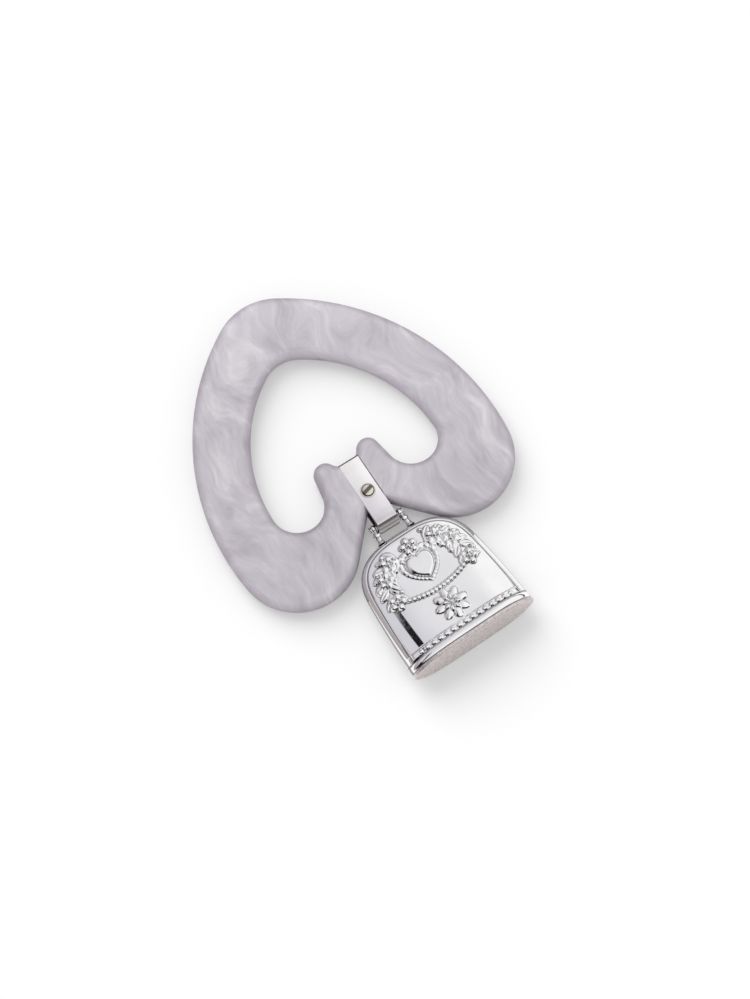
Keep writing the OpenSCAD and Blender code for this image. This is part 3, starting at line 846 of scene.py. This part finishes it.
def leaf(x, d, at, turn):
    """Height of a pointed leaf that grows from a point, with a groove along its middle."""
    along, across = turned(x, d, at, turn)
    along = along / LEAF_LEN
    inside = (along > 0) & (along < 1)
    edge = LEAF_HALF_W * np.sin(math.pi * np.clip(along, 0.001, 0.999)) ** LEAF_POWER
    body = LEAF_H * np.clip(1 - (across / edge) ** 2, 0, 1) ** PUFF * inside
    return body * (1 - VEIN_SHARE * np.exp(-((across / VEIN_W) ** 2)))


def blossom(x, d, at, radius, height, petals, turn=0.0):
    """Height of a flower: petals round a small button."""
    forms = [dome(x, d, at, (BUTTON_R * radius, BUTTON_R * radius), BUTTON_RISE * height)]
    half = PETAL_W * radius * math.sin(math.pi / petals)
    for i in range(petals):
        a = turn + 2 * math.pi * i / petals
        forms.append(dome(x, d, beside(at, PETAL_AT * radius, a), (PETAL_LEN * radius, half), height, a))
    return np.maximum.reduce(forms)


def raised_heart(x, d):
    """Height of a flat-topped heart with round flanks, in a beaded border."""
    px, py = (x - HEART_AT[0]) / HEART_SIZE, (HEART_AT[1] - d) / HEART_SIZE
    angle = np.arctan2(py, px)
    # The outline is a heart curve of the sixth degree, solved for its distance in each direction
    swell = np.cbrt(np.cos(angle) ** 2 * np.sin(angle) ** 3)
    edge = np.ones_like(px)
    for _ in range(12):
        edge = np.sqrt(np.maximum(1 + swell * edge ** (5 / 3), 0.05))
    share = np.hypot(px, py) / edge
    face = HEART_H * np.clip(HEART_STEEPNESS * (1 - (share / HEART_FACE) ** 2), 0, 1) ** PUFF
    string = 1 - HEART_BEAD_DIP + HEART_BEAD_DIP * np.abs(np.cos(HEART_BEADS / 2 * angle))
    beads = ridge(share, *HEART_BORDER) * string
    return np.maximum(face, beads)


def spray_point(share, side):
    """A point of the leaf spray along the arch, from the middle to a shoulder."""
    angle = share * math.pi / 2
    across = side * SPRAY_HALF_W * math.sin(angle) ** SPRAY_POWER
    return across, SPRAY_FOOT - SPRAY_H * max(math.cos(angle), 0) ** SPRAY_POWER


def spray(x, d, side):
    """Height of one leaf spray with its blossoms and berries."""
    forms = []
    for i, share in enumerate(SPRAY_LEAVES):
        here, ahead = spray_point(share, side), spray_point(share + 0.01, side)
        heading = math.atan2(ahead[1] - here[1], ahead[0] - here[0])
        forms += [leaf(x, d, here, heading + lean) for lean in (-LEAF_LEAN, LEAF_LEAN)]
        berry = heading + math.pi / 2 * (1 if i % 2 else -1)
        forms.append(dome(x, d, beside(here, BERRY_REACH, berry), (BERRY_R, BERRY_R), BERRY_H))
    for share, radius in SPRAY_BLOSSOMS:
        at = spray_point(share, side)
        forms.append(blossom(x, d, at, radius, BLOSSOM_H, BLOSSOM_PETALS, BLOSSOM_TWIST * share))
    return np.maximum.reduce(forms)


def rope(x, d):
    """Height of a hanging string of beads, which are largest in its middle."""
    beads = []
    for place in np.linspace(-1, 1, ROPE_BEADS):
        size = ROPE_BEAD_R + ROPE_BEAD_SWELL * (1 - place**2)
        spot = (ROPE_HALF_W * place, ROPE_LOW - ROPE_SAG * place**2)
        beads.append(dome(x, d, spot, (size, size), ROPE_BEAD_H))
    return np.maximum.reduce(beads)


def rosette(x, d):
    """Height of a flower with two rings of petals, the inner ones between the outer ones."""
    wide = blossom(x, d, ROSETTE_AT, *ROSETTE_WIDE, ROSETTE_PETALS)
    tall = blossom(x, d, ROSETTE_AT, *ROSETTE_TALL, ROSETTE_PETALS, math.pi / ROSETTE_PETALS)
    return np.maximum(wide, tall)


def beaded_band(x, d):
    """Height of the row of beads on the band above the mouth."""
    row = BELL_LEN - BAND_H / 2 - BAND_BEAD_LIFT
    places = np.linspace(-BAND_BEAD_REACH, BAND_BEAD_REACH, BAND_BEADS)
    return np.maximum.reduce([dome(x, d, (place, row), BAND_BEAD_SIZE, BAND_BEAD_H) for place in places])


def relief(x, d):
    """Height of the whole ornament."""
    top_flower = blossom(x, d, BLOSSOM_AT, BLOSSOM_R, BLOSSOM_H, BLOSSOM_PETALS, -math.pi / 2)
    forms = [spray(x, d, -1), spray(x, d, 1), top_flower]
    forms += [form(x, d) for form in (raised_heart, rope, rosette, beaded_band)]
    return np.maximum.reduce(forms)


def edge_distance(x, d):
    """Distance of each point from the arch and the sides of the bell's outline."""
    depth = np.concatenate([ARCH_H * np.linspace(0, 1, 140) ** 3, np.linspace(ARCH_H, BELL_LEN + 2, 120)[1:]])
    best = np.full(x.shape, np.inf)
    for w, y in zip(half_width(depth), depth):
        best = np.minimum(best, (np.abs(x) - w) ** 2 + (d - y) ** 2)
    return np.sqrt(best)


def ridge(value, middle, half, height):
    """A half-round bead across a value."""
    return height * np.sqrt(np.clip(1 - ((value - middle) / half) ** 2, 0, 1))


def border(e, d, lip_height):
    """Height of the seam's groove, the line round the panel and the lip along the mouth."""
    to_mouth = BELL_LEN - d
    seam_groove = ridge(e, 0.0, SEAM_HALF_W, SEAM_DEPTH)
    panel_line = ridge(e, PANEL_LINE, PANEL_HALF_W, PANEL_DEPTH)
    cove = COVE_SHARE * lip_height * smooth_step(to_mouth, COVE_END, COVE_START)
    lip = ridge(to_mouth, LIP_MIDDLE, LIP_HALF_W, LIP_SHARE * lip_height) - cove
    return np.where(to_mouth < COVE_END, lip * smooth_step(e, 0.0, LIP_FADE), -seam_groove - panel_line)


def grime(e, d):
    """Share from 0 to 1 of the tarnish along the seam, in the line round the panel and beside the lip."""
    to_mouth = BELL_LEN - d
    seam = 1 - smooth_step(e, SEAM_HALF_W, SEAM_FADE_END)
    panel_line = np.exp(-(((e - PANEL_LINE) / LINE_FADE) ** 2)) * (to_mouth > COVE_END)
    cove = np.exp(-(((to_mouth - COVE_MIDDLE) / LINE_FADE) ** 2))
    mouth = 1 - smooth_step(to_mouth, *MOUTH_FADE)
    return RIM_TARNISH * np.maximum.reduce([seam, panel_line, cove, mouth])


def hollows(rise, x, d):
    """Share from 0 to 1 by which each point lies in a sharp recess of the ornament."""
    down = np.gradient(np.gradient(rise, axis=0), axis=0) / np.gradient(d, axis=0) ** 2
    across = np.gradient(np.gradient(rise, axis=1), axis=1) / (np.gradient(x, axis=1) ** 2 + 1e-6)
    depth = np.clip((down + across - HOLLOW_START) * HOLLOW_GAIN, 0, HOLLOW_TARNISH)
    return depth * smooth_step(d, *HOLLOW_FADE)


def shell_grid():
    """Points of a shell seen from the front: across, below the crown's top, and share of the half width."""
    arch_rows, side_rows, columns = 100, 180, 241
    arch = ARCH_H * np.linspace(0.004, 1, arch_rows) ** 2
    rows = np.concatenate([arch, np.linspace(ARCH_H, BELL_LEN, side_rows)[1:]])
    spread = np.linspace(-1, 1, columns)
    u, d = np.meshgrid(0.4 * spread + 0.6 * np.sin(spread * math.pi / 2), rows)
    return u * half_width(d), d, u


def pressed_sheet(x, d, u, rise):
    """Points of a shell's outside, raised along its normals and kept above the plane of the seam."""
    points = np.dstack([x, -CROWN_DROP - d, half_thickness(d) * lens(u)])
    normal = np.cross(np.gradient(points, axis=0), np.gradient(points, axis=1))
    normal /= np.linalg.norm(normal, axis=2, keepdims=True) + 1e-12
    points = points + rise[..., None] * normal
    points[..., 2] = np.maximum(points[..., 2], 0.0)
    return points


def with_flange(points):
    """All points and faces of a shell: its outside, and a flange that turns in from its rim."""
    rows, columns = points.shape[:2]
    count = rows * columns
    index = np.arange(count).reshape(rows, columns)
    rim = np.concatenate([index[:, -1], index[-1, -2::-1], index[-2::-1, 0], index[0, 1:-1]])
    inner = points.reshape(-1, 3)[rim] * [1 - 2 * BELL_WALL / BELL_BASE_W, 1, 1]
    inner[:, 1] = np.clip(inner[:, 1], MOUTH_Y, -CROWN_DROP - BELL_WALL)
    inner[:, 2] = np.maximum(inner[:, 2] - BELL_WALL, 0.0)
    after = np.roll(np.arange(rim.size), -1)
    flange = np.column_stack([rim, rim[after], count + after, count + np.arange(rim.size)])
    return np.vstack([points.reshape(-1, 3), inner]), np.vstack([grid_faces(rows, columns), flange])


def bell_shell(name, node, side, ornament):
    """One pressed shell of the bell; the back shell is plain, with painted shade along its seam."""
    x, d, u = shell_grid()
    e = edge_distance(x, d)
    rise = border(e, d, FRONT_LIP_H if ornament else BACK_LIP_H)
    if ornament:
        rise = rise + relief(x, d) * smooth_step(e, *RELIEF_FADE)
    rise = rise * smooth_step(d, 0.0, CROWN_FADE)
    points, faces = with_flange(pressed_sheet(x, d, u, rise))
    mesh = to_mesh(name, points * [1, 1, side], faces[:, ::-side], BELL_FRAME)
    shell = add_piece(name, mesh, SILVER, "bell", node, 65)
    darkening = np.maximum(hollows(rise, x, d), grime(e, d))
    # The back shell gets painted shade along its outline
    if not ornament:
        darkening = np.maximum(darkening, BACK_SHADE * (1 - smooth_step(e, *BACK_SHADE_FADE)))
    flange = np.full(len(points) - darkening.size, RIM_TARNISH)
    set_recess(shell, np.concatenate([darkening.ravel(), flange]))


def bell_base():
    """Lens-shaped plate over the mouth, with eased edges and a shallow border on its outer face."""
    turn = np.linspace(0, 2 * math.pi, 240, endpoint=False)
    u = np.cos(turn)
    size = np.array([BELL_BASE_W / 2 + PLATE_LIP, PLATE_HALF_T])
    outline = np.column_stack([u, np.sign(np.sin(turn)) * lens(u)]) * size
    profile = round_corner((PLATE_EASE, 0.0), (0.0, 0.0), (0.0, PLATE_EASE))
    profile += round_corner((0.0, PLATE_T - PLATE_EASE), (0.0, PLATE_T), (PLATE_EASE, PLATE_T))
    profile += [(inset, PLATE_T - depth) for inset, depth in PLATE_BORDER]
    sections = []
    for inset, depth in profile:
        flat = outline * (1 - inset / size)
        sections.append(np.column_stack([flat[:, 0], np.full(turn.size, MOUTH_Y - depth), flat[:, 1]]))
    mesh = to_mesh("base_plate", *loft(np.array(sections)), BELL_FRAME)
    add_piece("base_plate", mesh, PLATE_SILVER, "bell", "bell_base", 30)


def pellets():
    """The loose pellets keep their CAD form."""
    for number in range(1, 6):
        mesh = frame["nodes"][f"pellet_{number}"].data
        mesh.materials.clear()
        mesh.materials.append(SHOT_STEEL)


heart_ring()
hanger_strap()
strap_screw()
screw_barrel()
hinge_pin()
lug("lug_left", "left_lug", -1)
lug("lug_right", "right_lug", 1)
bell_shell("shell_front", "bell_front", 1, True)
bell_shell("shell_back", "bell_back", -1, False)
bell_base()
pellets()


# Stage, light and camera

AZIMUTH, ELEVATION = math.radians(-32.7), math.radians(71.8)
BACK = Vector((
    math.sin(AZIMUTH) * math.cos(ELEVATION), -math.cos(AZIMUTH) * math.cos(ELEVATION), math.sin(ELEVATION)
))
PICTURE_RIGHT = Vector((math.cos(AZIMUTH), math.sin(AZIMUTH), 0))
PICTURE_UP = Vector((-math.sin(AZIMUTH), math.cos(AZIMUTH), 0))
LOOK_AT = Vector((0.58, -6.45, 2.75)) * MM
FRAME_HEIGHT = 207.1 * MM
FOCAL_LENGTH, SENSOR = 200.0, 36.0
FLOOR_REACH = 3000 * MM
# Share of plain white that the floor shows the camera, which keeps its shadows light
FLOOR_WHITE = 0.26
SUN_HEIGHT, SUN_SPREAD = math.radians(45), math.radians(50)
SUN_POWER = 2.3
# How far the sun stands to the left for each step that it stands up the picture
SUN_LEFT = 0.8


def set_camera():
    """A long lens that looks from the photograph's angle."""
    data = bpy.data.cameras.new("camera")
    data.lens = FOCAL_LENGTH
    data.sensor_width = SENSOR
    camera = add_object("camera", data)
    camera.location = LOOK_AT + BACK * (FRAME_HEIGHT * FOCAL_LENGTH / SENSOR)
    camera.rotation_mode = "QUATERNION"
    camera.rotation_quaternion = (-BACK).to_track_quat("-Z", "Y")
    bpy.context.scene.camera = camera


def ray_kinds(graph):
    """1 for rays from the camera, else 0, and the same for rays from a mirror or clear matter."""
    rays = graph.node("LightPath").outputs
    return rays["Is Camera Ray"], graph.math("MAXIMUM", rays["Is Glossy Ray"], rays["Is Transmission Ray"])


def pale_paper():
    """Matt paper that glows a little, but only where the camera or a mirror sees it."""
    material, graph, shader = new_material(
        "pale_paper", Base_Color=(0.68, 0.68, 0.68, 1), Roughness=1.0, Specular_IOR_Level=0.0
    )
    seen_directly = graph.math("MAXIMUM", *ray_kinds(graph))
    both = graph.node("MixShader", Fac=graph.math("MULTIPLY", seen_directly, FLOOR_WHITE))
    graph.feed(both.inputs[1], shader.outputs["BSDF"])
    graph.feed(both.inputs[2], graph.node("Emission").outputs["Emission"])
    graph.fill(graph.nodes["Material Output"], Surface=both.outputs["Shader"])
    return material


def set_floor():
    """A wide sheet of paper under the part."""
    corners = [(x * FLOOR_REACH, y * FLOOR_REACH, 0) for x, y in ((-1, -1), (1, -1), (1, 1), (-1, 1))]
    mesh = bpy.data.meshes.new("floor")
    mesh.from_pydata(corners, [], [(0, 1, 2, 3)])
    mesh.materials.append(pale_paper())
    floor = add_object("floor", mesh)
    return floor


def set_sun(floor):
    """Soft key light from the picture's upper left. It lights the floor alone, where it draws the shadow."""
    data = bpy.data.lights.new("key", "SUN")
    data.energy = SUN_POWER
    data.angle = SUN_SPREAD
    sun = add_object("key", data)
    towards = (PICTURE_UP - SUN_LEFT * PICTURE_RIGHT).normalized() * math.cos(SUN_HEIGHT)
    towards.z = math.sin(SUN_HEIGHT)
    sun.rotation_mode = "QUATERNION"
    sun.rotation_quaternion = towards.to_track_quat("Z", "Y")
    sun.visible_glossy = False
    lit = bpy.data.collections.new("lit_by_key")
    lit.objects.link(floor)
    sun.light_linking.receiver_collection = lit


def dome_and_walls(graph, height, right):
    """A white dome, dimmer on the left, over grey walls that stand higher and darker on the left."""
    half_right = graph.math("MULTIPLY_ADD", right, 0.5, 0.5)
    sky = graph.ramp(half_right, [(0.28, (0.66, 0.655, 0.7)), (0.45, (0.8, 0.795, 0.82)), (0.58, 0.97)])
    left_side = graph.smooth_step(right, -0.55, -0.85)
    walls = graph.mix(left_side, (0.6, 0.59, 0.59, 1), (0.42, 0.365, 0.375, 1))
    wall_top = graph.math("MULTIPLY_ADD", left_side, 0.3, 0.17)
    over_walls = graph.smooth_step(graph.math("SUBTRACT", height, wall_top), -0.03, 0.03)
    return graph.mix(over_walls, walls, sky)


def dark_cards(graph, height, right, up):
    """1 on the cards that draw the metal's dark edges, else 0. Each step is an edge of a card."""
    far_card = graph.product(graph.smooth_step(up, 0.25, 0.4), graph.smooth_step(height, 0.16, 0.12))
    near_card = graph.product(
        graph.smooth_step(up, -0.1, -0.25),
        graph.smooth_step(right, -0.85, -0.7),
        graph.smooth_step(height, 0.72, 0.64),
        graph.smooth_step(height, 0.14, 0.18),
    )
    slanted_top = graph.math("MULTIPLY_ADD", right, 0.83, 0.667)
    narrow_flag = graph.product(
        graph.smooth_step(right, -0.61, -0.59),
        graph.smooth_step(right, -0.44, -0.46),
        graph.smooth_step(graph.math("SUBTRACT", slanted_top, up), -0.01, 0.01),
        graph.smooth_step(height, 0.5, 0.6),
    )
    return graph.math("MAXIMUM", narrow_flag, graph.math("MAXIMUM", near_card, far_card))


def studio(graph):
    """What metal mirrors, by how far each direction reaches upwards, and right and up in the picture."""
    direction = graph.coordinates("Generated")
    height, right, up = (graph.along(direction, axis) for axis in ((0, 0, 1), PICTURE_RIGHT, PICTURE_UP))
    light = dome_and_walls(graph, height, right)
    return graph.mix(dark_cards(graph, height, right, up), light, (0.012, 0.011, 0.012, 1))


def set_world():
    """Even light for the object, the studio in its mirrors, and plain white for the camera."""
    white, even_light = (1.0, 1.0, 1.0, 1), (0.98, 0.98, 0.98, 1)
    world = bpy.data.worlds.new("studio")
    world.use_nodes = True
    bpy.context.scene.world = world
    graph = Graph(world.node_tree)
    from_camera, mirrored = ray_kinds(graph)
    light = graph.mix(mirrored, even_light, studio(graph))
    graph.fill(graph.nodes["Background"], Color=graph.mix(from_camera, light, white))


set_camera()
set_sun(set_floor())
set_world()
bpy.context.scene.view_settings.view_transform = "Standard"
